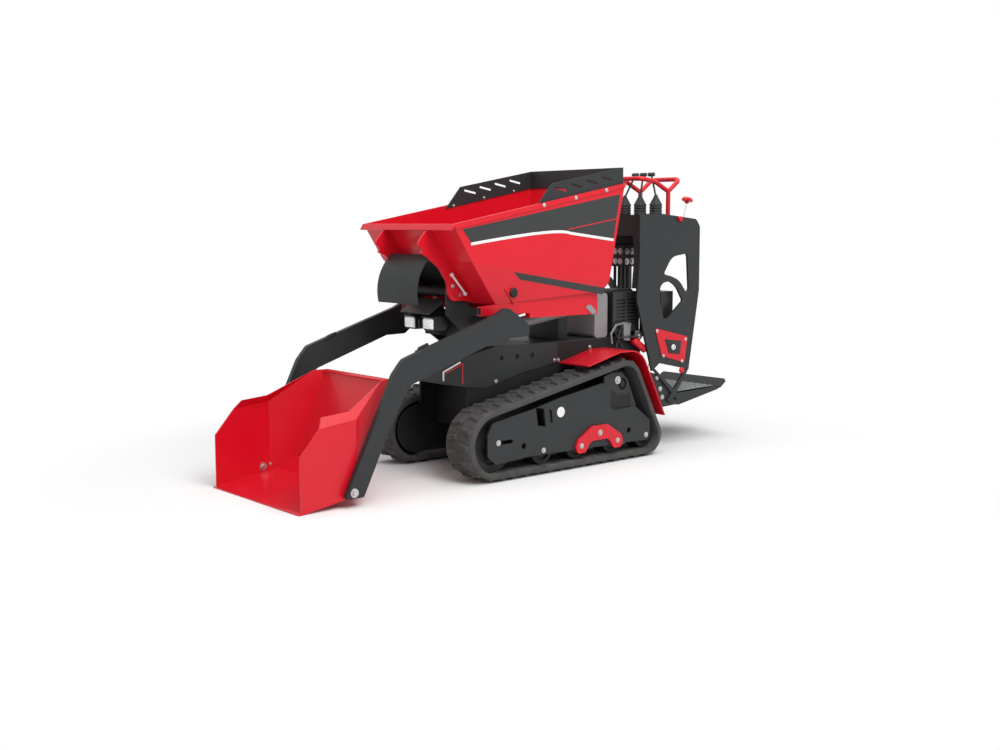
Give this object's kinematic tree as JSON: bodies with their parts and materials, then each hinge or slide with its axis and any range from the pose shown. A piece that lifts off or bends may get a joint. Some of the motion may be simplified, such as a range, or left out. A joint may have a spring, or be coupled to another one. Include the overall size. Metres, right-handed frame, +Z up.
{
  "type": "tracked self-loading site dumper",
  "caption": "Compact rubber-tracked site dumper with a forward-tipping skip, cranked loader arms with a bucket, and a rear console with a fold-up footboard.",
  "frame": {"origin": "on the ground under the middle of the machine's length and width", "axes": "+X forward to the bucket, +Y to the machine's left, +Z up"},
  "size_m": [2.7922, 0.78, 1.4252],
  "materials": {
    "red_paint": "gloss",
    "grey_paint": "satin",
    "rubber": "matte",
    "wheel_iron": "satin",
    "black_plastic": "matte",
    "engine_metal": "cast",
    "steel": "satin",
    "tank_grey": "satin",
    "cylinder_grey": "satin",
    "chrome": "polished"
  },
  "bodies": {
    "chassis": {"track_left": "rubber", "track_right": "rubber", "track_frame_left": "grey_paint", "track_frame_right": "grey_paint", "front_idlers": "wheel_iron", "road_rollers": "wheel_iron", "drive_units": "wheel_iron", "roller_rockers": "red_paint", "fender_left": "red_paint", "fender_right": "red_paint", "beam_frame": "grey_paint", "chassis_box": "grey_paint", "chassis_nose": "grey_paint", "rear_deck": "grey_paint", "pivot_tower": "grey_paint", "rear_bracket": "grey_paint", "lamp_bracket": "grey_paint", "engine_block": "engine_metal", "engine_shroud": "black_plastic", "silencer": "steel", "hydraulic_tank": "tank_grey", "fuel_tank": "black_plastic", "valve_block": "engine_metal", "hydraulic_hoses": "rubber", "console_side_left": "grey_paint", "console_side_right": "grey_paint", "console_deck": "grey_paint", "console_panels": "red_paint", "handle_bar": "red_paint", "control_levers": "black_plastic"},
    "skip": {"skip_shell": "red_paint", "skip_subframe": "red_paint", "skip_ribs": "red_paint", "skip_guard": "grey_paint", "skip_boards": "grey_paint"},
    "tip_barrel": {"tip_barrels": "cylinder_grey"},
    "tip_rod": {"tip_rods": "chrome"},
    "arms": {"arm_left": "grey_paint", "arm_right": "grey_paint", "arm_shaft": "steel"},
    "bucket": {"bucket_shell": "red_paint", "bucket_pins": "steel"},
    "footboard": {"platform": "grey_paint"},
    "lamp_left": {"work_lamp_left": "black_plastic"},
    "lamp_right": {"work_lamp_right": "black_plastic"}
  },
  "joints": [
    {"name": "skip_tip", "type": "hinge", "parent": "chassis", "child": "skip", "pos_m": [0.45107, 0, 0.85], "axis": [0, 1, 0], "range_deg": [0, 80]},
    {"name": "tip_barrel_swing", "type": "hinge", "parent": "chassis", "child": "tip_barrel", "pos_m": [0.22107, 0, 0.665], "axis": [0, 1, 0], "range_deg": [0, 85]},
    {"name": "tip_rod_slide", "type": "slide", "parent": "tip_barrel", "child": "tip_rod", "axis": [-0.9896, 0, 0.1441], "range_m": [0, 0.369]},
    {"name": "arm_lift", "type": "hinge", "parent": "chassis", "child": "arms", "pos_m": [0.32107, 0, 0.71], "axis": [0, 1, 0], "range_deg": [-120, 0]},
    {"name": "bucket_tilt", "type": "hinge", "parent": "arms", "child": "bucket", "pos_m": [1.16207, 0, 0.064], "axis": [0, 1, 0], "range_deg": [-75, 0]},
    {"name": "platform_fold", "type": "hinge", "parent": "chassis", "child": "footboard", "pos_m": [-0.96893, 0, 0.232], "axis": [0, 1, 0], "range_deg": [0, 75]},
    {"name": "lamp_left_tilt", "type": "hinge", "parent": "chassis", "child": "lamp_left", "pos_m": [0.49907, 0.07, 0.705], "axis": [0, 1, 0], "range_deg": [-20, 20]},
    {"name": "lamp_right_tilt", "type": "hinge", "parent": "chassis", "child": "lamp_right", "pos_m": [0.49907, -0.07, 0.705], "axis": [0, 1, 0], "range_deg": [-20, 20]}
  ],
  "couplings": [
    {"joint": "tip_barrel_swing", "follows": "skip_tip", "ratio": 1.057},
    {"joint": "tip_rod_slide", "follows": "skip_tip", "m_per_rad": 0.26405}
  ]
}
